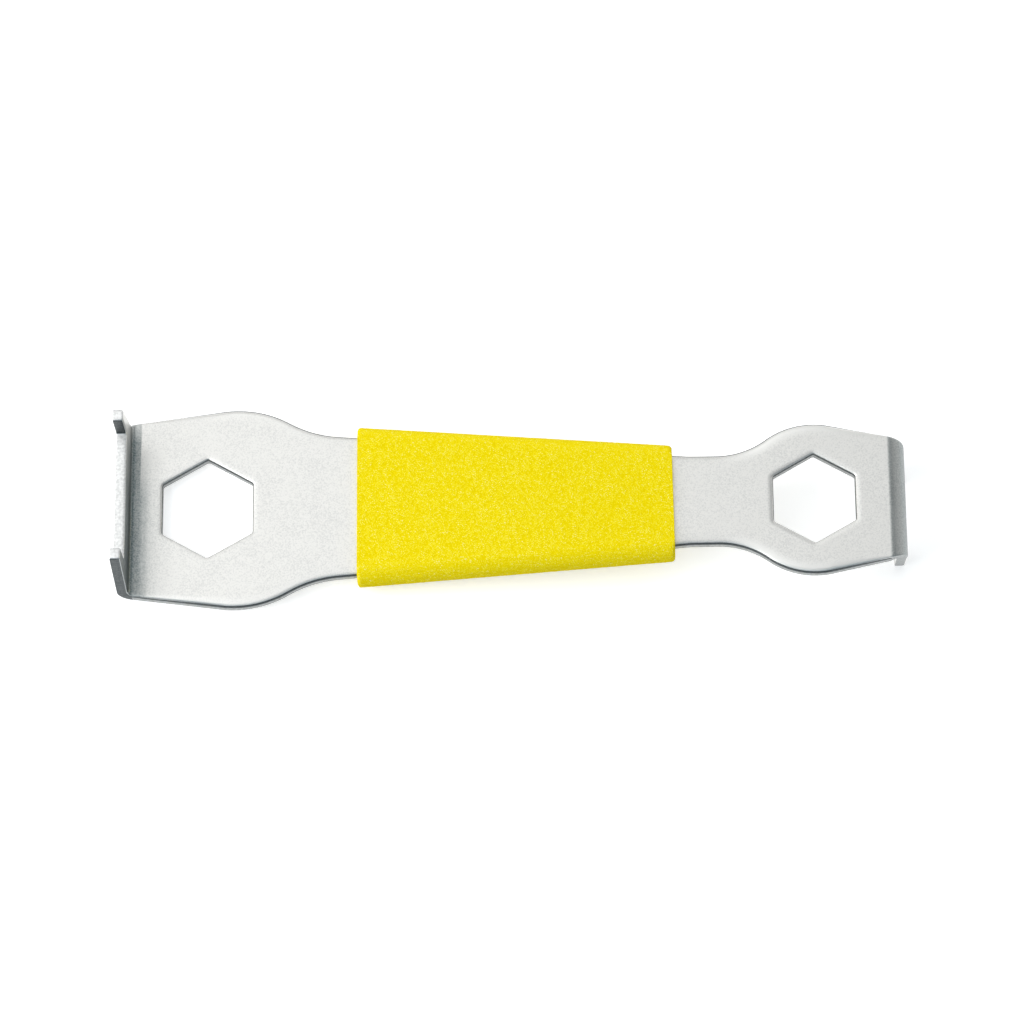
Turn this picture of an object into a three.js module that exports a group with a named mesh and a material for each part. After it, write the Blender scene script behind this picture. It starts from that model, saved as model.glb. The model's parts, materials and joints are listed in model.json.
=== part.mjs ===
// Chainring nut wrench: a stamped steel blade, folded at both ends, in a foam sleeve.
// Millimetres, +Z up. X runs along the wrench from its wide end to its narrow end.

import * as THREE from "three";
import { LoftGeometry } from "three/addons/geometries/LoftGeometry.js";
import { mergeVertices } from "three/addons/utils/BufferGeometryUtils.js";

// The steel sheet
const SHEET_THICKNESS = 1.2;
const EDGE_ROUND = 0.15;

// The six-sided openings, by the bolt head that each one turns
const WIDE_HEX_SIZE = 10;
const NARROW_HEX_SIZE = 9;
const HEX_CLEARANCE = 0.1;
const HEX_CORNER_RADIUS = 0.4;
const HEX_SPACING = 67.8; // from one opening's centre to the other's
const HEX_SIDES = 6;

// The wide head, folded up
const WIDE_HEAD_RADIUS = 11.75;
const WIDE_HEAD_INSET = 3.15; // from the opening's centre to the head's, towards the grip
const WIDE_FILLET_RADIUS = 12.7;
const WIDE_END_DISTANCE = 9.88; // from the opening's centre to the flange's outer face
const WIDE_BEND_RADIUS = 0.5; // inside the fold
const WIDE_FOLD_WIDTH = 20.6; // where the fold starts
const WIDE_FLANGE_WIDTH = 20; // where the fold ends
const WIDE_FLANGE_HEIGHT = 9.4; // from the blade's far face to the prong tips
const WIDE_PRONG_SPAN = 17.6; // over the outer sides of the pair

// The narrow head, folded down
const NARROW_HEAD_RADIUS = 8.85;
const NARROW_FILLET_RADIUS = 9.3;
const NARROW_END_DISTANCE = 10.25;
const NARROW_BEND_RADIUS = 0.7;
const NARROW_FOLD_WIDTH = 14.5;
const NARROW_FLANGE_WIDTH = 13.2;
const NARROW_FLANGE_HEIGHT = 7.7;
const NARROW_PRONG_SPAN = 11.1;

// The prongs that drop into the slots of a nut
const PRONG_WIDTH = 1.35;
const PRONG_LENGTH = 3.7; // from the seat between the prongs to their tips
const PRONG_CORNER_RADIUS = 0.3;

// The handle between the heads
const NECK_WIDTH = 10.5;
const NECK_LENGTH = 3; // straight stretch beside the narrow head
const TAPER_ANGLE = 4.57; // degrees, each edge

// The foam sleeve
const GRIP_WALL = 1;
const GRIP_CLEARANCE = 0.3;
const GRIP_WIDE_MARGIN = 2.25; // from the wide head's fillet
const GRIP_NARROW_MARGIN = 2; // from the straight neck
const GRIP_EDGE_FLAT = 0.6; // height of the flat left on the rounded edges
const GRIP_END_ROUND = 0.4;

// Smoothness of the curves
const OUTLINE_STEPS = 5;
const HEX_CORNER_STEPS = 2;
const EDGE_ROUND_STEPS = 2;
const BEND_STEPS = 6;
const GRIP_CORNER_STEPS = 6;
const GRIP_END_STEPS = 3;
const SAME_POINT = 1e-4; // mm

// Sizes that follow from the ones above
const WIDE_HEX_CENTRE = new THREE.Vector2(-HEX_SPACING / 2, 0);
const NARROW_HEX_CENTRE = new THREE.Vector2(HEX_SPACING / 2, 0);
const WIDE_HEAD_CENTRE = new THREE.Vector2(WIDE_HEX_CENTRE.x + WIDE_HEAD_INSET, 0);
const TAPER = THREE.MathUtils.degToRad(TAPER_ANGLE);

// A flange laid flat. It points "outward" along X, and its fold turns it along Z.
function flatFlange({ outward, fold, face, bendRadius, foldWidth, flangeWidth, height, prongSpan }) {
  const middleRadius = bendRadius + SHEET_THICKNESS / 2;
  const bendLength = (Math.PI / 2) * middleRadius;
  const bend = face - outward * (bendRadius + SHEET_THICKNESS);
  const bendEnd = bend + outward * bendLength;
  const tip = bendEnd + outward * (height - bendRadius - SHEET_THICKNESS);
  return {
    outward,
    fold,
    face,
    middleRadius,
    bendLength,
    bend,
    bendEnd,
    tip,
    seat: tip - outward * PRONG_LENGTH,
    foldHalf: foldWidth / 2,
    flangeHalf: flangeWidth / 2,
    prongOuter: prongSpan / 2,
    prongInner: prongSpan / 2 - PRONG_WIDTH,
    tipHeight: fold * (height - SHEET_THICKNESS / 2),
  };
}

const wideFlange = flatFlange({
  outward: -1,
  fold: 1,
  face: WIDE_HEX_CENTRE.x - WIDE_END_DISTANCE,
  bendRadius: WIDE_BEND_RADIUS,
  foldWidth: WIDE_FOLD_WIDTH,
  flangeWidth: WIDE_FLANGE_WIDTH,
  height: WIDE_FLANGE_HEIGHT,
  prongSpan: WIDE_PRONG_SPAN,
});
const narrowFlange = flatFlange({
  outward: 1,
  fold: -1,
  face: NARROW_HEX_CENTRE.x + NARROW_END_DISTANCE,
  bendRadius: NARROW_BEND_RADIUS,
  foldWidth: NARROW_FOLD_WIDTH,
  flangeWidth: NARROW_FLANGE_WIDTH,
  height: NARROW_FLANGE_HEIGHT,
  prongSpan: NARROW_PRONG_SPAN,
});

// A round corner between two straight edges of an outline.
function roundCorner(path, before, corner, after, radius) {
  const entry = before.clone().sub(corner).setLength(radius).add(corner);
  const exit = after.clone().sub(corner).setLength(radius).add(corner);
  path.lineTo(entry.x, entry.y);
  path.quadraticCurveTo(corner.x, corner.y, exit.x, exit.y);
}

// One prong and its half of the seat, from the axis out to the end of the fold.
function prongCorners(flange) {
  return [
    new THREE.Vector2(flange.seat, 0),
    new THREE.Vector2(flange.seat, flange.prongInner),
    new THREE.Vector2(flange.tip, flange.prongInner),
    new THREE.Vector2(flange.tip, flange.prongOuter),
    new THREE.Vector2(flange.bendEnd, flange.flangeHalf),
  ];
}

// A straight edge through "origin" and the fillet that joins it to a head.
function headFillet(origin, direction, filletRadius, headCentre, headRadius) {
  const normal = new THREE.Vector2(-direction.y, direction.x).multiplyScalar(direction.x < 0 ? -1 : 1);
  const offset = origin.clone().addScaledVector(normal, filletRadius).sub(headCentre);
  const along = offset.dot(direction);
  const reach = headRadius + filletRadius;
  const travel = -along - Math.sqrt(along * along - offset.lengthSq() + reach * reach);
  const start = origin.clone().addScaledVector(direction, travel);
  const centre = start.clone().addScaledVector(normal, filletRadius);
  return {
    start,
    centre,
    startAngle: start.clone().sub(centre).angle(),
    endAngle: headCentre.clone().sub(centre).angle(),
    headAngle: centre.clone().sub(headCentre).angle(),
  };
}

// The angle at which an edge from a fold touches its head.
function touchAngle(flange, headCentre, headRadius) {
  const corner = new THREE.Vector2(flange.bend, flange.foldHalf).sub(headCentre);
  return corner.angle() + flange.outward * Math.acos(headRadius / corner.length());
}

const neckFillet = headFillet(
  new THREE.Vector2(0, NECK_WIDTH / 2),
  new THREE.Vector2(1, 0),
  NARROW_FILLET_RADIUS,
  NARROW_HEX_CENTRE,
  NARROW_HEAD_RADIUS,
);
const taperEnd = new THREE.Vector2(neckFillet.start.x - NECK_LENGTH, NECK_WIDTH / 2);
const wideFillet = headFillet(
  taperEnd,
  new THREE.Vector2(-Math.cos(TAPER), Math.sin(TAPER)),
  WIDE_FILLET_RADIUS,
  WIDE_HEAD_CENTRE,
  WIDE_HEAD_RADIUS,
);

// Half the handle's width at a place along its taper.
function handleHalfWidth(x) {
  return taperEnd.y + (taperEnd.x - x) * Math.tan(TAPER);
}

// The +Y edge of the flat blank, from the wide seat to the narrow seat.
function blankEdge() {
  const wide = prongCorners(wideFlange);
  const narrow = prongCorners(narrowFlange).reverse();
  const edge = new THREE.Path();
  edge.moveTo(wide[0].x, wide[0].y);
  for (let i = 1; i <= 3; i++) {
    roundCorner(edge, wide[i - 1], wide[i], wide[i + 1], PRONG_CORNER_RADIUS);
  }
  edge.lineTo(wide[4].x, wide[4].y);
  edge.lineTo(wideFlange.bend, wideFlange.foldHalf);
  edge.absarc(
    WIDE_HEAD_CENTRE.x,
    WIDE_HEAD_CENTRE.y,
    WIDE_HEAD_RADIUS,
    touchAngle(wideFlange, WIDE_HEAD_CENTRE, WIDE_HEAD_RADIUS),
    wideFillet.headAngle,
    true,
  );
  edge.absarc(
    wideFillet.centre.x,
    wideFillet.centre.y,
    WIDE_FILLET_RADIUS,
    wideFillet.endAngle,
    wideFillet.startAngle,
    false,
  );
  edge.lineTo(taperEnd.x, taperEnd.y);
  edge.absarc(
    neckFillet.centre.x,
    neckFillet.centre.y,
    NARROW_FILLET_RADIUS,
    neckFillet.startAngle,
    neckFillet.endAngle,
    false,
  );
  edge.absarc(
    NARROW_HEX_CENTRE.x,
    NARROW_HEX_CENTRE.y,
    NARROW_HEAD_RADIUS,
    neckFillet.headAngle,
    touchAngle(narrowFlange, NARROW_HEX_CENTRE, NARROW_HEAD_RADIUS),
    true,
  );
  edge.lineTo(narrowFlange.bend, narrowFlange.foldHalf);
  edge.lineTo(narrow[0].x, narrow[0].y);
  for (let i = 1; i <= 3; i++) {
    roundCorner(edge, narrow[i - 1], narrow[i], narrow[i + 1], PRONG_CORNER_RADIUS);
  }
  edge.lineTo(narrow[4].x, narrow[4].y);
  return edge.getPoints(OUTLINE_STEPS);
}

// A six-sided opening with its points across the blade and its corners eased.
function hexOpening(centre, size) {
  const halfSide = Math.PI / HEX_SIDES;
  const flatReach = (size + HEX_CLEARANCE) / 2;
  const arcReach = (flatReach - HEX_CORNER_RADIUS) / Math.cos(halfSide);
  const opening = new THREE.Path();
  for (let i = 0; i < HEX_SIDES; i++) {
    const turn = Math.PI / 2 + i * 2 * halfSide;
    opening.absarc(
      centre.x + arcReach * Math.cos(turn),
      centre.y + arcReach * Math.sin(turn),
      HEX_CORNER_RADIUS,
      turn - halfSide,
      turn + halfSide,
      false,
    );
  }
  opening.closePath();
  return opening;
}

// The flat stamping with eased edges, its middle plane at z = 0.
function flatBlank() {
  const upper = blankEdge();
  const lower = upper.slice(1, -1).reverse();
  const mirrored = lower.map((point) => new THREE.Vector2(point.x, -point.y));
  const outline = new THREE.Shape([...upper, ...mirrored]);
  outline.holes.push(hexOpening(WIDE_HEX_CENTRE, WIDE_HEX_SIZE));
  outline.holes.push(hexOpening(NARROW_HEX_CENTRE, NARROW_HEX_SIZE));
  const straight = SHEET_THICKNESS - 2 * EDGE_ROUND;
  const blank = new THREE.ExtrudeGeometry(outline, {
    depth: straight,
    curveSegments: HEX_CORNER_STEPS,
    bevelThickness: EDGE_ROUND,
    bevelSize: EDGE_ROUND,
    bevelOffset: -EDGE_ROUND,
    bevelSegments: EDGE_ROUND_STEPS,
  });
  blank.deleteAttribute("normal");
  blank.deleteAttribute("uv");
  return mergeVertices(blank.translate(0, 0, -straight / 2), SAME_POINT);
}

// Cuts the triangles of a closed surface along one plane across X and keeps the surface closed.
function cutAcross(points, triangles, station) {
  const cuts = new Map();
  function side(i) {
    const distance = points[i].x - station;
    return Math.abs(distance) < SAME_POINT ? 0 : Math.sign(distance);
  }
  function cutPoint(i, j) {
    const key = `${Math.min(i, j)} ${Math.max(i, j)}`;
    if (!cuts.has(key)) {
      const share = (station - points[i].x) / (points[j].x - points[i].x);
      cuts.set(key, points.length);
      points.push(points[i].clone().lerp(points[j], share));
    }
    return cuts.get(key);
  }
  return triangles.flatMap((triangle) => {
    const below = [];
    const above = [];
    triangle.forEach((i, corner) => {
      const j = triangle[(corner + 1) % 3];
      if (side(i) <= 0) below.push(i);
      if (side(i) >= 0) above.push(i);
      if (side(i) * side(j) < 0) {
        below.push(cutPoint(i, j));
        above.push(cutPoint(i, j));
      }
    });
    return [below, above].flatMap((loop) => loop.slice(2).map((k, n) => [loop[0], loop[n + 1], k]));
  });
}

// Moves a point of the flat blank to where the fold of a flange takes it.
function foldPoint(point, flange) {
  const run = flange.outward * (point.x - flange.bend);
  if (run <= 0) return;
  const turn = Math.min(run, flange.bendLength) / flange.middleRadius;
  const past = Math.max(run - flange.bendLength, 0);
  const radius = flange.middleRadius - flange.fold * point.z;
  point.x = flange.bend + flange.outward * radius * Math.sin(turn);
  point.z = flange.fold * (flange.middleRadius - radius * Math.cos(turn) + past);
}

// The blade: the blank with a flange folded up at its wide end and one folded down at its narrow end.
function foldedBlade() {
  const blank = flatBlank();
  const position = blank.getAttribute("position");
  const points = [];
  for (let i = 0; i < position.count; i++) {
    points.push(new THREE.Vector3().fromBufferAttribute(position, i));
  }
  let triangles = [];
  for (let i = 0; i < blank.index.count; i += 3) {
    triangles.push([blank.index.getX(i), blank.index.getX(i + 1), blank.index.getX(i + 2)]);
  }
  for (const flange of [wideFlange, narrowFlange]) {
    for (let step = 0; step <= BEND_STEPS; step++) {
      const station = flange.bend + (flange.outward * flange.bendLength * step) / BEND_STEPS;
      triangles = cutAcross(points, triangles, station);
    }
  }
  for (const point of points) {
    foldPoint(point, wideFlange);
    foldPoint(point, narrowFlange);
  }
  return new THREE.BufferGeometry().setFromPoints(points).setIndex(triangles.flat());
}

// A rounded rectangle across X, anticlockwise seen from the narrow end.
function sleeveRing(x, halfWidth, halfHeight, cornerRadius) {
  const ring = [];
  for (let corner = 0; corner < 4; corner++) {
    const sideY = corner === 0 || corner === 3 ? 1 : -1;
    const sideZ = corner < 2 ? 1 : -1;
    for (let step = 0; step <= GRIP_CORNER_STEPS; step++) {
      const turn = ((corner + step / GRIP_CORNER_STEPS) * Math.PI) / 2;
      const y = sideY * (halfWidth - cornerRadius) + cornerRadius * Math.cos(turn);
      const z = sideZ * (halfHeight - cornerRadius) + cornerRadius * Math.sin(turn);
      ring.push(new THREE.Vector3(x, y, z));
    }
  }
  return ring;
}

// The slot through the sleeve, a clearance larger than the handle.
function slotRing(x) {
  const halfWidth = handleHalfWidth(x) + GRIP_CLEARANCE;
  const halfHeight = SHEET_THICKNESS / 2 + GRIP_CLEARANCE;
  return sleeveRing(x, halfWidth, halfHeight, GRIP_CLEARANCE);
}

// The outside of the sleeve, drawn in by "inset" where its ends are rounded.
function outsideRing(x, inset) {
  const halfWidth = handleHalfWidth(x) + GRIP_CLEARANCE + GRIP_WALL - inset;
  const halfHeight = SHEET_THICKNESS / 2 + GRIP_CLEARANCE + GRIP_WALL - inset;
  return sleeveRing(x, halfWidth, halfHeight, halfHeight - GRIP_EDGE_FLAT / 2);
}

// The foam sleeve over the tapered part of the handle.
function foamSleeve() {
  const start = wideFillet.start.x + GRIP_WIDE_MARGIN;
  const end = taperEnd.x - GRIP_NARROW_MARGIN;
  const startRings = [];
  const endRings = [];
  for (let step = 0; step <= GRIP_END_STEPS; step++) {
    const turn = ((step / GRIP_END_STEPS) * Math.PI) / 2;
    const along = GRIP_END_ROUND * (1 - Math.cos(turn));
    const inset = GRIP_END_ROUND * (1 - Math.sin(turn));
    startRings.push(outsideRing(start + along, inset));
    endRings.unshift(outsideRing(end - along, inset));
  }
  const rings = [slotRing(start), ...startRings, ...endRings, slotRing(end), slotRing(start)];
  const loft = new LoftGeometry(rings, { closed: true, capStart: false, capEnd: false });
  const sleeve = new THREE.BufferGeometry();
  sleeve.setAttribute("position", loft.getAttribute("position"));
  sleeve.setIndex(loft.index);
  return mergeVertices(sleeve, SAME_POINT);
}

// A named piece with crisp edges, placed so that the middle of the whole wrench is the origin.
function makePiece(name, geometry, material) {
  const faceted = geometry.toNonIndexed();
  faceted.computeVertexNormals();
  const piece = new THREE.Mesh(faceted, material);
  piece.name = name;
  piece.position.x = -(wideFlange.face + narrowFlange.face) / 2;
  piece.position.z = -(wideFlange.tipHeight + narrowFlange.tipHeight) / 2;
  return piece;
}

const zincSteel = new THREE.MeshStandardMaterial({ color: 0xd6d8d5, roughness: 0.42, metalness: 1 });
const yellowFoam = new THREE.MeshStandardMaterial({ color: 0xf4e31f, roughness: 0.95, metalness: 0 });

const wrench = new THREE.Group();
wrench.name = "chainring_nut_wrench";
wrench.add(makePiece("wrench_blade", foldedBlade(), zincSteel));
wrench.add(makePiece("foam_grip", foamSleeve(), yellowFoam));

export default wrench;
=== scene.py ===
"""Chainring nut wrench: a folded, zinc-plated steel blade in a yellow foam sleeve, lying on a pale floor."""

import json
import math
from typing import NamedTuple

import bmesh
import bpy
from bpy.props import FloatProperty, FloatVectorProperty, IntProperty, PointerProperty
from mathutils import Euler, Matrix, Vector, noise


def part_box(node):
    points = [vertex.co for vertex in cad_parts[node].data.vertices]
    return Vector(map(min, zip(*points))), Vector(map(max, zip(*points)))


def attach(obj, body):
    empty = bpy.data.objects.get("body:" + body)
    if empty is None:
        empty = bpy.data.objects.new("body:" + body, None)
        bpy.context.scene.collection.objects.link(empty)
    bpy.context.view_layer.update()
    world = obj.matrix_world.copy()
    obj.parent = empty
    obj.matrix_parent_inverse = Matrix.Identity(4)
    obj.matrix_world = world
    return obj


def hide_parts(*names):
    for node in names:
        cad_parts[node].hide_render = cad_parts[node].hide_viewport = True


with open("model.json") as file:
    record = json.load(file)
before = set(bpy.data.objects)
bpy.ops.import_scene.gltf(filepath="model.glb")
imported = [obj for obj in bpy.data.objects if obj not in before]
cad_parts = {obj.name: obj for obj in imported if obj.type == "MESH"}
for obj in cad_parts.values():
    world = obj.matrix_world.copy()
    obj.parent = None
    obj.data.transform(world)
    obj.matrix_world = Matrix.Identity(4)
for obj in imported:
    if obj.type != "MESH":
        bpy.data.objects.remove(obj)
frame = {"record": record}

bl_info = {
    "name": "Chainring Nut Wrench",
    "version": (1, 0, 0),
    "blender": (4, 5, 0),
    "location": "3D View > Sidebar > Wrench",
    "description": "Builds a chainring nut wrench, its foam grip and a studio stage",
    "category": "Add Mesh",
}

MM = 0.001
BODY = "root"
BLADE_NODE = "wrench_blade"
GRIP_NODE = "foam_grip"

# The blade's finishes, by material number; the last is a near-black painted shade on the sheared edges
FACE, CUT, END, SHEAR_SHADE = range(4)

# Facets of the stamped edge's section: its lower break, its rolled upper edge and the dish beside it
BREAK_STEPS, ROLL_STEPS, DISH_STEPS = 2, 6, 4
# Facets of the roll, on its burnished line, that take the dark painted shade
SHADED_ROLL_STEPS = 3
END_FACING = 0.7

# Facets along the sleeve's slot, and the girth of its middle against its box
SLOT_STEPS = 6
MEAN_GIRTH = 0.85

# Points nearer than this are one point
BLADE_MERGE = 0.001 * MM
GRIP_MERGE = 0.0001 * MM
CUT_SNAP = 0.00001 * MM

# Where the middle values of a noise pattern lie
PATTERN_LOW, PATTERN_HIGH = 0.3, 0.7

WHITE = (1.0, 1.0, 1.0)
FLOOR_FACETS = 96
SENSOR_WIDTH = 36.0

# Where each softbox stands, and its width and height
OVERHEAD_PLACE, OVERHEAD_SIZE = (-0.096, 0.15, 0.45), (0.42, 0.38)
FILL_PLACE, FILL_SIZE = (-0.078, -0.115, 0.46), (0.42, 0.2)
SIDE_PLACE, SIDE_SIZE = (-0.46, -0.1, 0.4), (0.45, 0.3)

# The studio's walls, from behind the camera to the back, as (place, colour) stops
WALLS = [
    (0.025, (0.1, 0.125, 0.14)),
    (0.125, (0.16, 0.22, 0.26)),
    (0.25, (0.3, 0.37, 0.41)),
    (0.5, (0.31, 0.33, 0.34)),
    (0.72, (0.33, 0.35, 0.36)),
    (0.92, (0.85, 0.86, 0.86)),
]
SIDE_WALLS = 0.6
WHITE_GROUND = [(0.06, 1.0), (0.14, 0.0)]

# Places read from the frame
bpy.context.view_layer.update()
BLADE_LOW, BLADE_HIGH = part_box(BLADE_NODE)
GRIP_LOW, GRIP_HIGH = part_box(GRIP_NODE)
MOUNTS = {m["name"]: Vector(m["pos_m"]) for m in frame["record"]["mounts"]}
OPENINGS = {o["name"]: o["box_m"] for o in frame["record"]["physics"]["openings"]}
SHEET_MIDDLE = MOUNTS["wide_hex_flat"].z


def opening_centre(name):
    """The middle of a six-sided opening, seen square to the blade."""
    low, high = OPENINGS[name]
    return Vector(((low[0] + high[0]) / 2, 0.0))


def length(name, description, default):
    """A size in metres, shown in the scene's units."""
    return FloatProperty(
        name=name, description=description, default=default, min=0.0, unit="LENGTH", precision=5
    )


def angle(name, description, default):
    """An angle in radians, shown in degrees."""
    return FloatProperty(name=name, description=description, default=default, subtype="ANGLE")


def share(name, description, default):
    """A number from nothing to all."""
    return FloatProperty(
        name=name, description=description, default=default, min=0.0, max=1.0, subtype="FACTOR"
    )


def colour(name, description, default):
    """A linear colour."""
    return FloatVectorProperty(
        name=name, description=description, default=default, size=3, min=0.0, max=1.0, subtype="COLOR"
    )


class BladeSettings(bpy.types.PropertyGroup):
    """Sizes of the stamped and folded blade."""

    thickness: length("Thickness", "Thickness of the steel sheet", 1.2 * MM)
    bend_steps: IntProperty(
        name="Bend steps", description="Facets round each fold", default=14, min=2, subtype="UNSIGNED"
    )
    roll_width: length("Edge roll width", "How far the stamped edge is drawn in on the upper face", 0.55 * MM)
    roll_depth: length("Edge roll depth", "How far the stamped edge is drawn down", 0.37 * MM)
    dish_width: length("Dish width", "How far from the edge the upper face starts to fall", 1.4 * MM)
    dish_depth: length("Dish depth", "How far the upper face falls before the edge roll", 0.04 * MM)
    edge_break: length("Edge break", "Radius of the edge on the lower face", 0.08 * MM)
    prong_ease: share("Prong edge share", "Share of the edge roll that the prongs have", 0.2)
    hex_ease: share("Opening edge share", "Share of the edge roll that the openings have", 0.5)
    tolerance: length("Curve tolerance", "How far a facet may lie from its curve", 0.003 * MM)
    hex_corner: length("Opening corner", "Radius in the corners of the six-sided openings", 0.35 * MM)
    wide_head_radius: length("Wide head radius", "Radius of the wide head", 11.75 * MM)
    wide_head_inset: length("Wide head inset", "From the opening's centre to the head's", 3.15 * MM)
    wide_fillet: length("Wide fillet", "Radius between the wide head and the handle", 12.7 * MM)
    wide_bend_radius: length("Wide bend radius", "Radius inside the wide fold", 0.5 * MM)
    wide_fold_width: length("Wide fold width", "Width where the wide fold starts", 20.6 * MM)
    wide_flange_width: length("Wide flange width", "Width where the wide fold ends", 20 * MM)
    wide_prong_span: length("Wide prong span", "Over the outer sides of the wide prongs", 17.6 * MM)
    narrow_head_radius: length("Narrow head radius", "Radius of the narrow head", 8.85 * MM)
    narrow_fillet: length("Narrow fillet", "Radius between the narrow head and the neck", 9.3 * MM)
    narrow_bend_radius: length("Narrow bend radius", "Radius inside the narrow fold", 0.7 * MM)
    narrow_fold_width: length("Narrow fold width", "Width where the narrow fold starts", 14.5 * MM)
    narrow_flange_width: length("Narrow flange width", "Width where the narrow fold ends", 13.2 * MM)
    narrow_prong_span: length("Narrow prong span", "Over the outer sides of the narrow prongs", 11.1 * MM)
    prong_width: length("Prong width", "Width of each prong", 1.35 * MM)
    prong_corner: length("Prong corner", "Radius of the prongs' corners", 0.3 * MM)
    side_ease: length("Side ease", "Radius where two nearly straight edges meet", 6 * MM)
    neck_width: length("Neck width", "Width of the straight neck", 10.5 * MM)
    neck_length: length("Neck length", "Straight stretch beside the narrow head", 3 * MM)
    taper: angle("Taper", "Slope of each edge of the handle", math.radians(4.57))


class GripSettings(bpy.types.PropertyGroup):
    """Sizes of the foam sleeve."""

    squeeze: length("Slot gap", "Gap left between the foam and the handle", 0.03 * MM)
    slot_corner: length("Slot corner", "Radius in the corners of the slot", 0.12 * MM)
    edge_flat: length("Edge flat", "Height of the flat on the sleeve's rounded edges", 0.5 * MM)
    end_round: length("End round", "Radius of the sleeve's ends", 0.02 * MM)
    end_corner: length("End corner", "Radius of the sleeve's corners, seen square to the blade", 0.4 * MM)
    cell: length("Cell spacing", "Spacing of the mesh that carries the foam's grain", 0.14 * MM)
    grain: length("Grain size", "Size of the foam's grain", 0.3 * MM)
    relief: length("Relief", "Height of the foam's grain", 0.03 * MM)
    reach: length("End reach", "How far the narrow end has crept along the handle", 0.12 * MM)
    skew: length("End skew", "How far the narrow end is cut off square", 0.08 * MM)
    droop: length("End offset", "How far the narrow end sits off the handle's middle", 0.2 * MM)
    pinch: length("Pinch", "How much thinner the foam is along the edges of the wide end", 0.16 * MM)
    crease: angle("Crease", "Angle past which an edge of the foam looks sharp", math.radians(38))
    fill: share("Fill", "How full and tight the foam is", 0.8)


class FinishSettings(bpy.types.PropertyGroup):
    """Colours and finishes."""

    zinc: colour("Zinc", "Plated face of the steel", (0.776, 0.766, 0.738))
    zinc_dull: colour("Dull zinc", "Duller patches of the plating", (0.64, 0.636, 0.617))
    # Painted highlight: paler plating beside the heads' outer rims, standing in for their sheen
    zinc_highlight: colour("Bright zinc", "Plating polished beside the rims of the heads", (0.85, 0.842, 0.815))
    # Dark colour along the folds: partly plating rubbed by the press, partly painted shade inside and beside the wide
    # fold
    zinc_rubbed_and_shade: colour("Rubbed zinc", "Plating rubbed by the press along the folds", (0.095, 0.13, 0.138))
    zinc_roughness: share("Zinc roughness", "Roughness of the plated face", 0.36)
    cut_edge: colour("Cut edge", "Edge of the heads, the handle and the openings", (0.42, 0.43, 0.425))
    prong_end: colour("Prong end", "Ends of the prongs and the seats between them", (0.85, 0.85, 0.84))
    # Painted shade: near-black plating on the burnished line of the edges and on the wide flange's sides
    sheared_shade: colour("Sheared edge", "Burnished line of the edges, sides of the wide flange", (0.125, 0.135, 0.138))
    foam: colour("Foam", "Body of the foam", (0.91, 0.74, 0.0))
    # Pale grain and deep cells: the foam's random tone, with raised grains painted paler as highlight and hollows
    # painted darker as shade
    foam_pale_lit: colour("Pale grain", "Raised grains of the foam", (0.935, 0.805, 0.056))
    foam_deep_shaded: colour("Deep cells", "Hollows between the grains", (0.84, 0.648, 0.0))
    foam_speck: colour("Specks", "A few pale specks in the foam", (0.95, 0.93, 0.75))


class StageSettings(bpy.types.PropertyGroup):
    """Camera, floor and light."""

    lens: FloatProperty(name="Lens", description="Focal length", default=159.5, unit="CAMERA")
    distance: length("Distance", "From the camera to the middle of the blade", 505 * MM)
    tilt: angle("Tilt", "How far the camera leans towards the viewer", 0.3558)
    turn: angle("Turn", "How far the camera turns along the wrench", 0.0272)
    roll: angle("Roll", "How far the camera rolls", -0.0083)
    slide_x: FloatProperty(name="Slide across", description="Shift across", default=0.07 * MM, unit="LENGTH")
    slide_y: FloatProperty(name="Slide up", description="Shift up", default=0.59 * MM, unit="LENGTH")
    overhead_power: FloatProperty(name="Overhead", description="Overhead softbox", default=0.442, unit="POWER")
    fill_power: FloatProperty(name="Fill", description="Overhead fill", default=0.14, unit="POWER")
    side_power: FloatProperty(name="Side", description="Side softbox", default=2.65, unit="POWER")
    floor_radius: length("Floor radius", "Radius of the pale floor", 400 * MM)
    floor: colour("Floor", "Colour of the floor", (0.9, 0.9, 0.9))
    floor_lift: share("Floor lift", "Paleness added to the floor so that it shows white", 0.45)


class Arc(NamedTuple):
    """An arc of an outline. Material lies to the right, so a negative sweep bulges and a positive one is hollow."""

    centre: Vector
    radius: float
    start: float
    sweep: float
    ease: float = 1.0


class Flange(NamedTuple):
    """A folded end, laid flat. It points outward along X, and its fold turns it along Z."""

    outward: int
    fold: int
    middle_radius: float
    bend_length: float
    bend: float
    bend_end: float
    tip: float
    seat: float
    fold_half: float
    flange_half: float
    prong_outer: float
    prong_inner: float


def on_circle(centre, radius, turn):
    """The point of a circle at an angle."""
    return centre + radius * Vector((math.cos(turn), math.sin(turn)))


def heading(vector):
    """The angle of a flat vector."""
    return math.atan2(vector.y, vector.x)


def corner_arc(before, corner, after, radius, ease=1.0):
    """The arc that rounds a corner between two straight edges."""
    arriving = (corner - before).normalized()
    leaving = (after - corner).normalized()
    sweep = leaving.angle_signed(arriving)
    start = corner - arriving * radius * math.tan(abs(sweep) / 2)
    centre = start + Vector((-arriving.y, arriving.x)) * math.copysign(radius, sweep)
    return Arc(centre, radius, heading(start - centre), sweep, ease)


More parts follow.
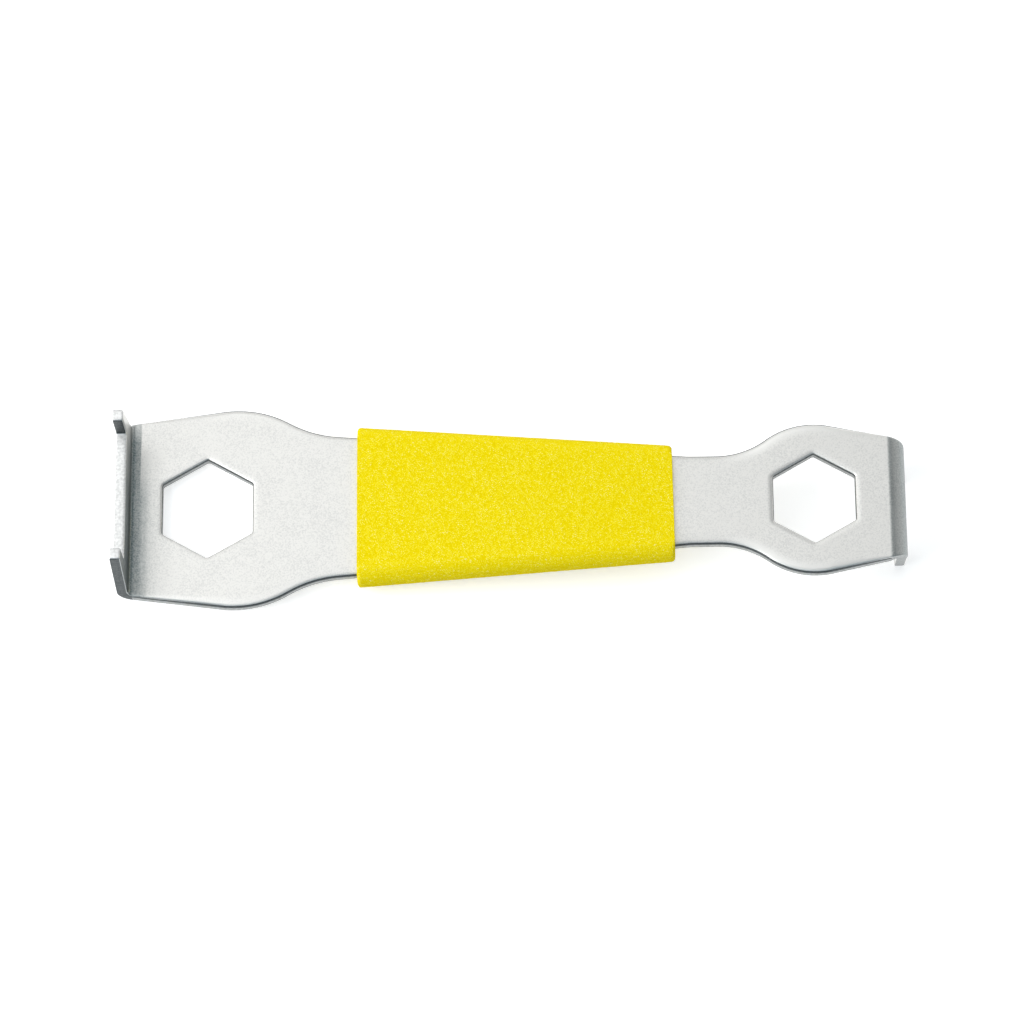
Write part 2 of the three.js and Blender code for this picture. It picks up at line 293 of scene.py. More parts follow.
def flat_flange(blade, outward, face, tip_height, seat_height, bend_radius, fold_width, flange_width, prong_span):
    """Lays one folded end flat, from where its faces are in the frame."""
    outer_radius = bend_radius + blade.thickness
    middle_radius = bend_radius + blade.thickness / 2
    bend_length = middle_radius * math.pi / 2
    height = abs(tip_height - SHEET_MIDDLE) + blade.thickness / 2
    bend = face - outward * outer_radius
    bend_end = bend + outward * bend_length
    tip = bend_end + outward * (height - outer_radius)
    return Flange(
        outward=outward,
        fold=1 if tip_height > SHEET_MIDDLE else -1,
        middle_radius=middle_radius,
        bend_length=bend_length,
        bend=bend,
        bend_end=bend_end,
        tip=tip,
        seat=tip - outward * abs(tip_height - seat_height),
        fold_half=fold_width / 2,
        flange_half=flange_width / 2,
        prong_outer=prong_span / 2,
        prong_inner=prong_span / 2 - blade.prong_width,
    )


def wide_flange(blade):
    """The end that is folded up."""
    return flat_flange(
        blade,
        -1,
        BLADE_LOW.x,
        BLADE_HIGH.z,
        MOUNTS["wide_prong_seat"].z,
        blade.wide_bend_radius,
        blade.wide_fold_width,
        blade.wide_flange_width,
        blade.wide_prong_span,
    )


def narrow_flange(blade):
    """The end that is folded down."""
    return flat_flange(
        blade,
        1,
        BLADE_HIGH.x,
        BLADE_LOW.z,
        MOUNTS["narrow_prong_seat"].z,
        blade.narrow_bend_radius,
        blade.narrow_fold_width,
        blade.narrow_flange_width,
        blade.narrow_prong_span,
    )


def head_fillet(origin, direction, fillet, head_centre, head_radius):
    """Where the fillet between a straight edge and a head starts, and its centre."""
    normal = Vector((-direction.y, direction.x)) * math.copysign(1, direction.x)
    offset = origin + normal * fillet - head_centre
    along = offset.dot(direction)
    reach = head_radius + fillet
    travel = -along - math.sqrt(along**2 - offset.length_squared + reach**2)
    start = origin + direction * travel
    return start, start + normal * fillet


def handle(blade):
    """The neck's fillet, the end of the taper and the wide head's fillet: (start, centre) for each fillet."""
    neck_half = blade.neck_width / 2
    neck = head_fillet(
        Vector((0, neck_half)),
        Vector((1, 0)),
        blade.narrow_fillet,
        opening_centre("narrow_hex_opening"),
        blade.narrow_head_radius,
    )
    taper_end = Vector((neck[0].x - blade.neck_length, neck_half))
    wide = head_fillet(
        taper_end,
        Vector((-math.cos(blade.taper), math.sin(blade.taper))),
        blade.wide_fillet,
        wide_head_centre(blade),
        blade.wide_head_radius,
    )
    return neck, taper_end, wide


def wide_head_centre(blade):
    """The middle of the wide head."""
    return opening_centre("wide_hex_opening") + Vector((blade.wide_head_inset, 0))


def handle_half_width(blade, x):
    """Half the handle's width at a place along its taper."""
    taper_end = handle(blade)[1]
    return taper_end.y + (taper_end.x - x) * math.tan(blade.taper)


def touch_point(flange, centre, radius):
    """Where a straight edge from the fold touches the head."""
    corner = Vector((flange.bend, flange.fold_half)) - centre
    return on_circle(centre, radius, heading(corner) + flange.outward * math.acos(radius / corner.length))


def prong_arcs(blade, flange, touch):
    """The rounded corners of one prong and its side, from the seat to the fold."""
    corners = [
        Vector((flange.seat, 0)),
        Vector((flange.seat, flange.prong_inner)),
        Vector((flange.tip, flange.prong_inner)),
        Vector((flange.tip, flange.prong_outer)),
        Vector((flange.bend_end, flange.flange_half)),
        Vector((flange.bend, flange.fold_half)),
        touch,
    ]
    radii = [blade.prong_corner] * 3 + [blade.side_ease] * 2
    if flange.outward > 0:
        corners.reverse()
        radii.reverse()
    return [
        corner_arc(corners[i], corners[i + 1], corners[i + 2], radius, blade.prong_ease)
        for i, radius in enumerate(radii)
    ]


def turned_arc(centre, radius, start, end, turn):
    """The arc from one point of a circle to another, turning left for +1 and right for -1."""
    begin = heading(start - centre)
    sweep = (heading(end - centre) - begin) * turn % math.tau * turn
    return Arc(centre, radius, begin, sweep)


def blade_arcs(blade):
    """The whole outline of the flat blank, as arcs that straight edges join."""
    wide, narrow = wide_flange(blade), narrow_flange(blade)
    wide_centre, narrow_centre = wide_head_centre(blade), opening_centre("narrow_hex_opening")
    neck, taper_end, shoulder = handle(blade)
    wide_touch = touch_point(wide, wide_centre, blade.wide_head_radius)
    narrow_touch = touch_point(narrow, narrow_centre, blade.narrow_head_radius)
    wide_joint = wide_centre + (shoulder[1] - wide_centre).normalized() * blade.wide_head_radius
    narrow_joint = narrow_centre + (neck[1] - narrow_centre).normalized() * blade.narrow_head_radius
    upper = [
        *prong_arcs(blade, wide, wide_touch),
        turned_arc(wide_centre, blade.wide_head_radius, wide_touch, wide_joint, -1),
        turned_arc(shoulder[1], blade.wide_fillet, wide_joint, shoulder[0], 1),
        corner_arc(shoulder[0], taper_end, neck[0], blade.side_ease),
        turned_arc(neck[1], blade.narrow_fillet, neck[0], narrow_joint, 1),
        turned_arc(narrow_centre, blade.narrow_head_radius, narrow_joint, narrow_touch, -1),
        *prong_arcs(blade, narrow, narrow_touch),
    ]
    lower = [
        arc._replace(centre=Vector((arc.centre.x, -arc.centre.y)), start=-(arc.start + arc.sweep))
        for arc in reversed(upper)
    ]
    return upper + lower


def hexagon_arcs(blade, name, flat):
    """The rounded corners of a six-sided opening with its points across the blade."""
    centre = opening_centre(name)
    half_side = math.pi / 6
    reach = (abs(MOUNTS[flat].x - centre.x) - blade.hex_corner) / math.cos(half_side)
    return [
        Arc(
            on_circle(centre, reach, math.pi / 2 + 2 * half_side * i),
            blade.hex_corner,
            math.pi / 2 + half_side * (2 * i - 1),
            2 * half_side,
            blade.hex_ease,
        )
        for i in range(6)
    ]


def draw_loop(bm, arcs, inset, height, tolerance):
    """Draws a closed outline of arcs and straight edges, drawn in by inset, and returns its edges."""
    bm.edges.ensure_lookup_table()
    first_edge = len(bm.edges)
    ends = []
    for arc in arcs:
        radius = arc.radius + math.copysign(inset * arc.ease, arc.sweep)
        start = bm.verts.new((*on_circle(arc.centre, radius, arc.start), height))
        step = 2 * math.acos(1 - min(tolerance / arc.radius, 0.5))
        spun = bmesh.ops.spin(
            bm,
            geom=[start],
            cent=(*arc.centre, height),
            axis=(0, 0, 1),
            angle=arc.sweep,
            steps=max(1, math.ceil(abs(arc.sweep) / step)),
        )
        end = next(item for item in spun["geom_last"] if isinstance(item, bmesh.types.BMVert))
        ends.append((start, end))
    for (_, end), (start, _) in zip(ends, ends[1:] + ends[:1]):
        bm.edges.new((end, start))
    bm.edges.ensure_lookup_table()
    return bm.edges[first_edge:]


def edge_profile(blade):
    """The section of the stamped edge from the lower face to the upper, as (inset, height, finish above) levels."""
    half = blade.thickness / 2
    levels = []
    for i in range(BREAK_STEPS + 1):
        turn = math.pi / 2 * i / BREAK_STEPS
        inset, rise = blade.edge_break * (1 - math.sin(turn)), blade.edge_break * (1 - math.cos(turn))
        levels.append((inset, rise - half, CUT))
    for i in range(ROLL_STEPS + 1):
        turn = math.pi / 2 * i / ROLL_STEPS
        inset, drop = blade.roll_width * (1 - math.cos(turn)), blade.roll_depth * (1 - math.sin(turn))
        # The first facets of the roll take the near-black painted shade
        levels.append((inset, half - blade.dish_depth - drop, SHEAR_SHADE if i < SHADED_ROLL_STEPS else FACE))
    for i in range(1, DISH_STEPS + 1):
        inset = blade.roll_width + (blade.dish_width - blade.roll_width) * i / DISH_STEPS
        levels.append((inset, half - blade.dish_depth * (1 - i / DISH_STEPS) ** 2, FACE))
    return levels


def edge_finish(blade, face, zone):
    """The finish of a place on the edge: as its zone has it, but prong ends, seats and flange sides differ, and the
    wide flange's sides take the painted shade.
    """
    x = face.calc_center_median().x
    wide, narrow = wide_flange(blade), narrow_flange(blade)
    face.normal_update()
    if not wide.bend_end < x < narrow.bend_end and abs(face.normal.x) > END_FACING:
        return END
    if zone == FACE:
        return FACE
    if x > narrow.bend:
        return CUT
    return SHEAR_SHADE if x < wide.bend else zone


def paint_rim_highlight(blade, loops, levels, painted_rim_highlight):
    """Notes where a painted highlight brightens the plating beside the outer rim, fading over the dish."""
    for loop, (inset, height, _) in zip(loops, levels):
        fade = (blade.dish_width - inset) / (blade.dish_width - blade.roll_width)
        for vert in {vert for edge in loop for vert in edge.verts}:
            vert[painted_rim_highlight] = min(1.0, fade) if height > 0 else 0.0


def stamp_blank(bm, blade):
    """The flat blank: outlines bridged up the edge's section and filled on both faces."""
    outlines = [
        blade_arcs(blade),
        hexagon_arcs(blade, "wide_hex_opening", "wide_hex_flat"),
        hexagon_arcs(blade, "narrow_hex_opening", "narrow_hex_flat"),
    ]
    levels = edge_profile(blade)
    # Painted highlight beside the outer rim, carried on the mesh
    painted_rim_highlight = bm.verts.layers.float.new("painted_rim_highlight")
    lower_rim, upper_rim = [], []
    for arcs in outlines:
        loops = [draw_loop(bm, arcs, inset, height, blade.tolerance) for inset, height, _ in levels]
        for i in range(len(loops) - 1):
            band = bmesh.ops.bridge_loops(bm, edges=list(loops[i]) + list(loops[i + 1]))["faces"]
            for face in band:
                face.smooth = True
                face.material_index = edge_finish(blade, face, levels[i][2])
        if arcs is outlines[0]:
            paint_rim_highlight(blade, loops, levels, painted_rim_highlight)
        lower_rim += loops[0]
        upper_rim += loops[-1]
    for rim in (lower_rim, upper_rim):
        bmesh.ops.triangle_fill(bm, use_beauty=True, edges=rim)
    bmesh.ops.remove_doubles(bm, verts=bm.verts, dist=BLADE_MERGE)


def bend_run(flange, x):
    """How far a place lies past the start of a fold."""
    return flange.outward * (x - flange.bend)


def fold_end(bm, blade, flange):
    """Cuts the blank across a fold in even steps and rolls what lies past it round the bend."""
    radius, full = flange.middle_radius, flange.bend_length
    margin = full / blade.bend_steps
    for i in range(-1, blade.bend_steps + 2):
        station = flange.bend + flange.outward * margin * i
        bmesh.ops.bisect_plane(
            bm,
            geom=bm.verts[:] + bm.edges[:] + bm.faces[:],
            dist=CUT_SNAP,
            plane_co=(station, 0, 0),
            plane_no=(1, 0, 0),
        )
    for face in bm.faces:
        run = bend_run(flange, face.calc_center_median().x)
        if -margin < run < full + margin:
            face.smooth = True
    pivot = Vector((flange.bend, 0, flange.fold * radius))
    for vert in bm.verts:
        run = min(bend_run(flange, vert.co.x), full)
        if run > 0:
            vert.co.x -= flange.outward * run
            turn = Matrix.Rotation(-flange.outward * flange.fold * run / radius, 3, "Y")
            vert.co = turn @ (vert.co - pivot) + pivot


def new_piece(name, bm, materials, node):
    """Makes a finished mesh into a piece that stands for a node of the frame."""
    mesh = bpy.data.meshes.new(name)
    bm.to_mesh(mesh)
    bm.free()
    for material in materials:
        mesh.materials.append(material)
    piece = bpy.data.objects.new(name, mesh)
    bpy.context.scene.collection.objects.link(piece)
    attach(piece, BODY)
    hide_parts(node)
    return piece


def new_material(name):
    """A fresh node material: its node tree and its main shader."""
    material = bpy.data.materials.new(name)
    material.use_nodes = True
    nodes = material.node_tree.nodes
    return material, nodes, material.node_tree.links, nodes["Principled BSDF"]


def noise_node(nodes, links, coordinates, size, detail=2.0):
    """A noise pattern of a given size in metres."""
    node = nodes.new("ShaderNodeTexNoise")
    node.inputs["Scale"].default_value = 1 / size
    node.inputs["Detail"].default_value = detail
    links.new(coordinates, node.inputs["Vector"])
    return node.outputs["Fac"]


def ramp_node(nodes, links, value, stops):
    """A colour ramp of (position, colour) stops."""
    node = nodes.new("ShaderNodeValToRGB")
    elements = node.color_ramp.elements
    while len(elements) < len(stops):
        elements.new(1.0)
    for element, (position, shade) in zip(elements, stops):
        element.position = position
        element.color = (*shade, 1.0)
    links.new(value, node.inputs["Fac"])
    return node.outputs["Color"]


def range_node(nodes, links, value, low, high):
    """Spreads a pattern's middle values over a new range."""
    node = nodes.new("ShaderNodeMapRange")
    node.inputs["From Min"].default_value = PATTERN_LOW
    node.inputs["From Max"].default_value = PATTERN_HIGH
    node.inputs["To Min"].default_value = low
    node.inputs["To Max"].default_value = high
    links.new(value, node.inputs["Value"])
    return node.outputs["Result"]


def mark_node(nodes, links, value, start, stops):
    """Amounts along an axis, as (distance past the start, amount) stops."""
    first, last = stops[0][0], stops[-1][0]
    span = nodes.new("ShaderNodeMapRange")
    span.inputs["From Min"].default_value = start + first
    span.inputs["From Max"].default_value = start + last
    links.new(value, span.inputs["Value"])
    shares = [((place - first) / (last - first), (amount,) * 3) for place, amount in stops]
    return ramp_node(nodes, links, span.outputs["Result"], shares)


def math_node(nodes, links, operation, first, second):
    """Two values put together."""
    node = nodes.new("ShaderNodeMath")
    node.operation = operation
    for socket, value in zip(node.inputs, (first, second)):
        if isinstance(value, float):
            socket.default_value = value
        else:
            links.new(value, socket)
    return node.outputs["Value"]


def mix_node(nodes, links, factor, first, second):
    """A pattern of one colour, with another laid over it by a factor."""
    node = nodes.new("ShaderNodeMix")
    node.data_type = "RGBA"
    links.new(factor, node.inputs["Factor"])
    links.new(first, node.inputs["A"])
    node.inputs["B"].default_value = (*second, 1.0)
    return node.outputs["Result"]


def attribute_node(nodes, name):
    """An amount that the mesh carries."""
    node = nodes.new("ShaderNodeAttribute")
    node.attribute_name = name
    return node.outputs["Fac"]


def bump_node(nodes, links, value, distance, strength):
    """Small relief from a pattern."""
    node = nodes.new("ShaderNodeBump")
    node.inputs["Distance"].default_value = distance
    node.inputs["Strength"].default_value = strength
    links.new(value, node.inputs["Height"])
    return node.outputs["Normal"]


def fold_rub_and_shade(nodes, links, axes, blade):
    """How much the plating is darkened along the folds, partly rubbed dull by the press and partly painted shade:
    beside and inside the wide fold, and over the narrow one.
    """
    wide, narrow = wide_flange(blade).bend, narrow_flange(blade).bend
    # Inside the wide fold: partly rubbed plating, partly painted shade in the fillet
    inside = [
        (-0.5 * MM, 0.0),
        (-0.47 * MM, 0.74),
        (-0.4 * MM, 0.84),
        (-0.3 * MM, 0.9),
        (-0.2 * MM, 0.93),
        (-0.1 * MM, 0.9),
        (0.0, 0.81),
        (0.2 * MM, 0.73),
        (0.57 * MM, 0.71),
        (0.68 * MM, 0.0),
    ]
    # Beside the wide fold on the plate: painted shade, fading away from the fold
    shade_beside_fold = [
        (0.0, 0.66),
        (0.7 * MM, 0.66),
        (0.9 * MM, 0.53),
        (1.2 * MM, 0.47),
        (1.35 * MM, 0.42),
        (1.6 * MM, 0.28),
        (2 * MM, 0.17),
        (3 * MM, 0.07),
        (4.5 * MM, 0.0),
    ]
    across = [(1.5 * MM, 1.0), (3.2 * MM, 0.7), (4.6 * MM, 0.5), (6.2 * MM, 0.4), (7.5 * MM, 0.1), (8.2 * MM, 0.0)]
    ends = [(-10.3 * MM, 0.85), (-8.5 * MM, 1.0), (8 * MM, 1.0), (10.3 * MM, 0.5)]
    # Over the narrow fold: plating rubbed by the press, partly painted shade
    over = [
        (-0.1 * MM, 0.0),
        (0.0, 0.29),
        (0.17 * MM, 0.62),
        (0.28 * MM, 0.58),
        (0.4 * MM, 0.54),
        (0.55 * MM, 0.47),
        (0.75 * MM, 0.47),
        (1.05 * MM, 0.52),
        (1.3 * MM, 0.62),
        (1.5 * MM, 0.67),
        (1.9 * MM, 0.66),
    ]
    below = [(-3.3 * MM, 0.0), (-2.3 * MM, 1.0)]

    def patch(start, amounts, axis, limits):
        """Marks along the blade, kept within limits on another axis."""
        marks = mark_node(nodes, links, axes.outputs["X"], start, amounts)
        return math_node(nodes, links, "MULTIPLY", marks, mark_node(nodes, links, axes.outputs[axis], 0, limits))

    worn_and_shaded = math_node(
        nodes, links, "MAXIMUM", patch(wide, inside, "Y", ends), patch(wide, shade_beside_fold, "Y", across)
    )
    return math_node(nodes, links, "MAXIMUM", worn_and_shaded, patch(narrow, over, "Z", below))


def zinc_face(finish, blade):
    """Bright zinc plating with a fine, slightly patchy satin, darkened along the folds by rubbing and by painted
    shade, with a painted highlight beside the heads' outer rims.
    """
    material, nodes, links, shader = new_material("zinc_plated_face")
    place = nodes.new("ShaderNodeTexCoord").outputs["Object"]
    patches = noise_node(nodes, links, place, 4 * MM, 3.0)
    satin = noise_node(nodes, links, place, 0.16 * MM, 2.0)
    level = math_node(nodes, links, "ADD", satin, math_node(nodes, links, "MULTIPLY", patches, 0.4))
    axes = nodes.new("ShaderNodeSeparateXYZ")
    links.new(place, axes.inputs["Vector"])
    plating = ramp_node(nodes, links, level, [(0.49, finish.zinc_dull), (0.77, finish.zinc)])
    # Painted highlight: paler plating beside the outer rim, faint on the wide head and full on the narrow head
    heads = [(-25 * MM, 0.45), (-20 * MM, 0.0), (23 * MM, 0.0), (27 * MM, 1.0)]
    along = mark_node(nodes, links, axes.outputs["X"], 0, heads)
    painted_rim_highlight = math_node(nodes, links, "MULTIPLY", attribute_node(nodes, "painted_rim_highlight"), along)
    plating = mix_node(nodes, links, painted_rim_highlight, plating, finish.zinc_highlight)
    # Darkening along the folds: partly plating rubbed by the press, partly painted shade
    speckle = range_node(nodes, links, satin, 1.1, 0.8)
    fold_darkening = math_node(nodes, links, "MULTIPLY", fold_rub_and_shade(nodes, links, axes, blade), speckle)
    plating = mix_node(nodes, links, fold_darkening, plating, finish.zinc_rubbed_and_shade)
    links.new(plating, shader.inputs["Base Color"])
    shader.inputs["Metallic"].default_value = 1.0
    rough = finish.zinc_roughness
    links.new(range_node(nodes, links, patches, rough - 0.04, rough + 0.04), shader.inputs["Roughness"])
    links.new(bump_node(nodes, links, satin, 0.01 * MM, 0.3), shader.inputs["Normal"])
    return material


def zinc_edge(name, shade, roughness, size, relief):
    """Plating over an edge of the sheet, with the marks of the cut."""
    material, nodes, links, shader = new_material(name)
    place = nodes.new("ShaderNodeTexCoord").outputs["Object"]
    tear = noise_node(nodes, links, place, size, 4.0)
    dull = [0.78 * channel for channel in shade]
    links.new(ramp_node(nodes, links, tear, [(0.35, dull), (0.65, shade)]), shader.inputs["Base Color"])
    shader.inputs["Metallic"].default_value = 1.0
    links.new(range_node(nodes, links, tear, roughness + 0.08, roughness - 0.08), shader.inputs["Roughness"])
    links.new(bump_node(nodes, links, tear, relief, 0.4), shader.inputs["Normal"])
    return material


def zinc_finishes(finish, blade):
    """The blade's finishes, in the order of its material numbers."""
    return [
        zinc_face(finish, blade),
        zinc_edge("zinc_plated_cut", finish.cut_edge, 0.5, 0.3 * MM, 0.02 * MM),
        zinc_edge("zinc_plated_end", finish.prong_end, 0.42, 0.3 * MM, 0.008 * MM),
        # Painted shade on the sheared edges and the wide flange's sides
        zinc_edge("zinc_plated_shear_shade", finish.sheared_shade, 0.5, 0.25 * MM, 0.02 * MM),
    ]


class WRENCH_OT_blade(bpy.types.Operator):
    """Stamp the steel blade, fold both ends and plate it."""

    bl_idname = "wrench.blade"
    bl_label = "Steel Blade"
    bl_options = {"REGISTER", "UNDO"}

    def execute(self, context):
        blade, finish = context.scene.wrench_blade, context.scene.wrench_finish
        bm = bmesh.new()
        stamp_blank(bm, blade)
        fold_end(bm, blade, wide_flange(blade))
        fold_end(bm, blade, narrow_flange(blade))
        bmesh.ops.translate(bm, verts=bm.verts, vec=(0, 0, SHEET_MIDDLE))
        bmesh.ops.recalc_face_normals(bm, faces=bm.faces)
        new_piece("steel_blade", bm, zinc_finishes(finish, blade), BLADE_NODE)
        return {"FINISHED"}


def section_point(turns, half_width, half_height, corner):
    """A point of a rounded rectangle, a share of the way round it from the middle of its +Y side."""
    quadrant, travel = divmod(turns % 1 * 4, 1)
    if quadrant % 2:
        travel = 1 - travel
    flat_y, flat_z, quarter = half_width - corner, half_height - corner, corner * math.pi / 2
    travel *= flat_z + quarter + flat_y
    turn = min(max((travel - flat_z) / corner, 0), math.pi / 2)
    y = flat_y + corner * math.cos(turn) - max(travel - flat_z - quarter, 0)
    z = min(travel, flat_z) + corner * math.sin(turn)
    return (y if quadrant in (0, 3) else -y), (z if quadrant in (0, 1) else -z)


def spread(start, end, step):
    """Even places from start up to, and without, end."""
    count = max(1, round(abs(end - start) / step))
    return [start + (end - start) * i / count for i in range(count)]


def sleeve_wall(blade, grip):
    """Thickness of the foam over the face of the handle."""
    return (GRIP_HIGH.z - GRIP_LOW.z - blade.thickness) / 2 - grip.squeeze


def sleeve_stations(grip, wall):
    """A way round the sleeve's wall, along the outside and back through the slot, as (x, depth) places."""
    low, high, ease = GRIP_LOW.x, GRIP_HIGH.x, grip.end_round
    turns = spread(0, math.pi / 2, grip.cell / ease)
    return [
        *((low, depth) for depth in spread(wall, ease, grip.cell)),
        *((low + ease * (1 - math.cos(t)), ease * (1 - math.sin(t))) for t in turns),
        *((x, 0.0) for x in spread(low + ease, high - ease, grip.cell)),
        *((high - ease * (1 - math.sin(t)), ease * (1 - math.cos(t))) for t in turns),
        *((high, depth) for depth in spread(ease, wall, grip.cell)),
        *((x, wall) for x in spread(high, low, (high - low) / SLOT_STEPS)),
    ]


def sleeve_place(blade, grip, wall, station, turns):
    """A point of the sleeve's skin, before its grain is raised."""
    x, depth = station
    outside = 1 - depth / wall
    along = (x - GRIP_LOW.x) / (GRIP_HIGH.x - GRIP_LOW.x)
    past = max(grip.end_corner - min(x - GRIP_LOW.x, GRIP_HIGH.x - x), 0.0)
    corner_inset = grip.end_corner - math.sqrt(grip.end_corner**2 - past**2)
    half_width = handle_half_width(blade, x) + grip.squeeze + wall - depth
    half_width -= (grip.pinch * (1 - along) + corner_inset) * outside
    half_height = blade.thickness / 2 + grip.squeeze + wall - depth
    round_edge = (GRIP_HIGH.z - GRIP_LOW.z - grip.edge_flat) / 2
    corner = grip.slot_corner + (round_edge - grip.slot_corner) * outside
    y, z = section_point(turns, half_width, half_height, corner)
    x += along**3 * (grip.reach - grip.skew * y / half_width)
    return Vector((x, y - grip.droop * along * outside, z + SHEET_MIDDLE))


def grain_height(place):
    """Coarse grain with finer grain over it, from about -1 to 1."""
    return 0.7 * noise.noise(place) + 0.5 * noise.noise(place * 2.1 + Vector((7, 3, 5)))


def foam_finish(finish):
    """Fine-celled yellow foam with a few specks: random tone, raised grains painted paler as highlight and hollows
    painted darker as shade.
    """
    material, nodes, links, shader = new_material("yellow_foam")
    place = nodes.new("ShaderNodeTexCoord").outputs["Object"]
    fine = noise_node(nodes, links, place, 0.12 * MM, 2.0)
    # Painted light and shade: the grain's height shifts the colour, paler on raised grains and darker in the hollows
    relief = math_node(nodes, links, "MULTIPLY", attribute_node(nodes, "grain"), 0.12)
    tint = ramp_node(
        nodes,
        links,
        math_node(nodes, links, "ADD", relief, fine),
        [(0.43, finish.foam_deep_shaded), (0.53, finish.foam), (0.65, finish.foam_pale_lit), (0.86, finish.foam_speck)],
    )
    links.new(tint, shader.inputs["Base Color"])
    shader.inputs["Roughness"].default_value = 0.9
    shader.inputs["Specular IOR Level"].default_value = 0.05
    links.new(bump_node(nodes, links, fine, 0.04 * MM, 0.5), shader.inputs["Normal"])
    return material


class WRENCH_OT_grip(bpy.types.Operator):
    """Roll the foam sleeve round the handle and raise its grain."""

    bl_idname = "wrench.grip"
    bl_label = "Foam Grip"
    bl_options = {"REGISTER", "UNDO"}

    def execute(self, context):
        blade, grip = context.scene.wrench_blade, context.scene.wrench_grip
        wall = sleeve_wall(blade, grip)
        stations = sleeve_stations(grip, wall)
        lap = 2 * (GRIP_HIGH.y - GRIP_LOW.y + GRIP_HIGH.z - GRIP_LOW.z) * MEAN_GIRTH
        around = 4 * round(lap / grip.cell / 4)
        bm = bmesh.new()
        bmesh.ops.create_grid(bm, x_segments=len(stations), y_segments=around, size=0.5)
        grain = bm.verts.layers.float.new("grain")
        depth_of = bm.verts.layers.float.new("depth")
        for vert in bm.verts:
            station = stations[round((vert.co.x + 0.5) * len(stations)) % len(stations)]
            vert.co = sleeve_place(blade, grip, wall, station, round((vert.co.y + 0.5) * around) / around)
            vert[depth_of] = station[1] / wall
        bmesh.ops.remove_doubles(bm, verts=bm.verts, dist=GRIP_MERGE)
        bmesh.ops.recalc_face_normals(bm, faces=bm.faces)
        bm.normal_update()
        for vert, normal in [(v, v.normal.copy()) for v in bm.verts]:
            height = grain_height(vert.co / grip.grain)
            vert[grain] = height
            vert.co += normal * grip.relief * height * min(1.0, 3 * (1 - vert[depth_of]))
        bm.verts.layers.float.remove(depth_of)
        for face in bm.faces:
            face.smooth = True
        for edge in bm.edges:
            edge.smooth = edge.calc_face_angle(0.0) < grip.crease
        piece = new_piece("foam_sleeve", bm, [foam_finish(context.scene.wrench_finish)], GRIP_NODE)
        return {"FINISHED"}


def floor_finish(stage):
    """A white floor that takes soft shadows and shows white where none falls."""
    material, nodes, links, shader = new_material("pale_floor")
    shader.inputs["Base Color"].default_value = (*stage.floor, 1.0)
    shader.inputs["Roughness"].default_value = 1.0
    shader.inputs["Specular IOR Level"].default_value = 0.0
    shader.inputs["Emission Color"].default_value = (*WHITE, 1.0)
    rays = nodes.new("ShaderNodeLightPath").outputs
    mirrored = math_node(nodes, links, "MAXIMUM", rays["Is Glossy Ray"], rays["Is Transmission Ray"])
    seen = math_node(nodes, links, "MAXIMUM", rays["Is Camera Ray"], mirrored)
    links.new(math_node(nodes, links, "MULTIPLY", seen, stage.floor_lift), shader.inputs["Emission Strength"])
    return material


def studio_world():
    """A dim studio with a white ground, dark behind the camera and pale at the back."""
    world = bpy.data.worlds.new("studio")
    world.use_nodes = True
    nodes, links = world.node_tree.nodes, world.node_tree.links
    direction = nodes.new("ShaderNodeTexCoord").outputs["Generated"]
    parts = nodes.new("ShaderNodeSeparateXYZ")
    links.new(direction, parts.inputs["Vector"])
    aside = math_node(nodes, links, "MULTIPLY", parts.outputs["X"], parts.outputs["X"])
    ahead = math_node(nodes, links, "ADD", parts.outputs["Y"], math_node(nodes, links, "MULTIPLY", aside, SIDE_WALLS))
    depth = nodes.new("ShaderNodeMapRange")
    depth.inputs["From Min"].default_value = -1.0
    links.new(ahead, depth.inputs["Value"])
    wall = ramp_node(nodes, links, depth.outputs["Result"], WALLS)
    ground = mark_node(nodes, links, parts.outputs["Z"], 0, WHITE_GROUND)
    links.new(mix_node(nodes, links, ground, wall, WHITE), nodes["Background"].inputs["Color"])
    return world


def softbox(scene, name, place, size, power):
    """A soft rectangular lamp that faces the wrench."""
    lamp = bpy.data.lights.new(name, "AREA")
    lamp.shape = "RECTANGLE"
    lamp.size, lamp.size_y = size
    lamp.energy = power
    box = bpy.data.objects.new(name, lamp)
    box.location = place
    box.rotation_euler = (-box.location).to_track_quat("-Z", "Y").to_euler()
    scene.collection.objects.link(box)


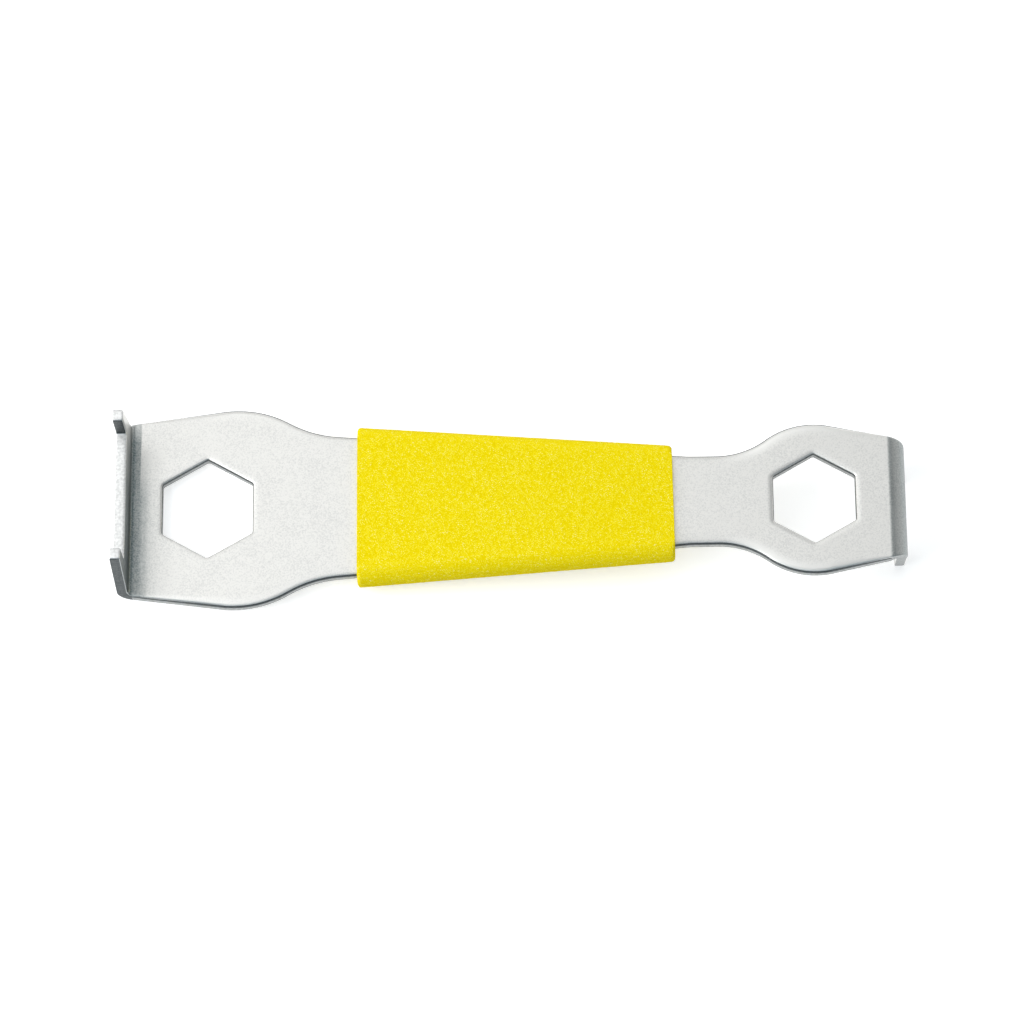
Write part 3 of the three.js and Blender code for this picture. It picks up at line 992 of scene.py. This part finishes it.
class WRENCH_OT_stage(bpy.types.Operator):
    """Lay the floor under the wrench, light it and set the camera."""

    bl_idname = "wrench.stage"
    bl_label = "Studio Stage"
    bl_options = {"REGISTER", "UNDO"}

    def execute(self, context):
        scene, stage, blade = context.scene, context.scene.wrench_stage, context.scene.wrench_blade
        heel = Vector((wide_flange(blade).bend, 0, SHEET_MIDDLE - blade.thickness / 2))
        toe = Vector((BLADE_HIGH.x - blade.thickness, 0, BLADE_LOW.z))
        lean = Matrix.Rotation(math.atan2(heel.z - toe.z, toe.x - heel.x), 4, "Y")
        bm = bmesh.new()
        bmesh.ops.create_circle(bm, cap_ends=True, segments=FLOOR_FACETS, radius=stage.floor_radius)
        bmesh.ops.transform(bm, matrix=Matrix.Translation((heel + toe) / 2) @ lean, verts=bm.verts)
        mesh = bpy.data.meshes.new("floor")
        bm.to_mesh(mesh)
        bm.free()
        mesh.materials.append(floor_finish(stage))
        floor = bpy.data.objects.new("floor", mesh)
        scene.collection.objects.link(floor)

        scene.world = studio_world()
        softbox(scene, "overhead", OVERHEAD_PLACE, OVERHEAD_SIZE, stage.overhead_power)
        softbox(scene, "fill", FILL_PLACE, FILL_SIZE, stage.fill_power)
        softbox(scene, "side", SIDE_PLACE, SIDE_SIZE, stage.side_power)

        lens = bpy.data.cameras.new("camera")
        lens.lens, lens.sensor_width = stage.lens, SENSOR_WIDTH
        camera = bpy.data.objects.new("camera", lens)
        camera.rotation_mode = "ZXY"
        camera.rotation_euler = (stage.tilt, stage.turn, stage.roll)
        turn = Euler((stage.tilt, stage.turn, stage.roll), "ZXY").to_matrix()
        middle = (opening_centre("wide_hex_opening") + opening_centre("narrow_hex_opening")) / 2
        aim = Vector((middle.x, 0, SHEET_MIDDLE))
        camera.location = aim + turn @ Vector((-stage.slide_x, -stage.slide_y, stage.distance))
        scene.collection.objects.link(camera)
        scene.camera = camera
        scene.view_settings.view_transform = "Standard"
        return {"FINISHED"}


class VIEW3D_PT_wrench(bpy.types.Panel):
    """Sizes, finishes and build steps of the wrench."""

    bl_label = "Chainring Nut Wrench"
    bl_space_type = "VIEW_3D"
    bl_region_type = "UI"
    bl_category = "Wrench"

    def draw(self, context):
        layout = self.layout
        for name, group, operator in STEPS:
            box = layout.box()
            box.label(text=group.__doc__)
            settings = getattr(context.scene, name)
            for key in group.__annotations__:
                box.prop(settings, key)
            if operator:
                box.operator(operator.bl_idname)


STEPS = [
    ("wrench_finish", FinishSettings, None),
    ("wrench_blade", BladeSettings, WRENCH_OT_blade),
    ("wrench_grip", GripSettings, WRENCH_OT_grip),
    ("wrench_stage", StageSettings, WRENCH_OT_stage),
]


def register():
    """Registers the settings, the operators and the panel."""
    for name, group, operator in STEPS:
        bpy.utils.register_class(group)
        setattr(bpy.types.Scene, name, PointerProperty(type=group))
        if operator:
            bpy.utils.register_class(operator)
    bpy.utils.register_class(VIEW3D_PT_wrench)


def unregister():
    """Takes everything out again."""
    bpy.utils.unregister_class(VIEW3D_PT_wrench)
    for name, group, operator in reversed(STEPS):
        if operator:
            bpy.utils.unregister_class(operator)
        delattr(bpy.types.Scene, name)
        bpy.utils.unregister_class(group)


def main():
    """Builds the wrench and its stage."""
    register()
    bpy.ops.wrench.blade()
    bpy.ops.wrench.grip()
    bpy.ops.wrench.stage()


if __name__ == "__main__":
    main()
